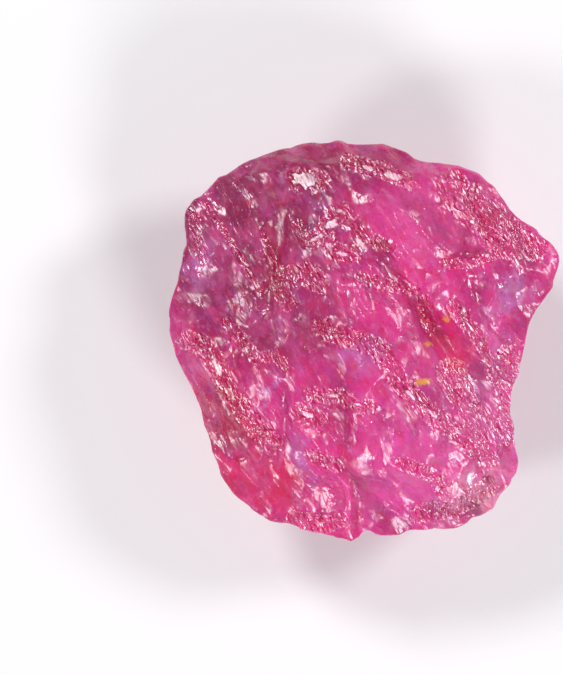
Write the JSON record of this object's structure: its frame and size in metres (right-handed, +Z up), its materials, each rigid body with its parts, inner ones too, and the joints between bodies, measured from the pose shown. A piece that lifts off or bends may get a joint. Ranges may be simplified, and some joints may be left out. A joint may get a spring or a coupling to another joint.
{
  "type": "raw ruby crystal",
  "caption": "Rough, broken lump of cloudy red-pink corundum, lying on a flat parting face, with a fractured crown of ledges, creases and shell-like chips.",
  "frame": {"origin": "middle of the stone's box at the height of the flat parting face that it rests on", "axes": "+Z up out of the parting face, +Y along the stone's longest extent, +X to the right when the crown is seen from above"},
  "size_m": [0.0145, 0.0149, 0.0072],
  "materials": {
    "ruby": "glossy natural fracture, cloudy and translucent"
  },
  "bodies": {
    "root": {"ruby_crystal": "ruby"}
  },
  "joints": []
}
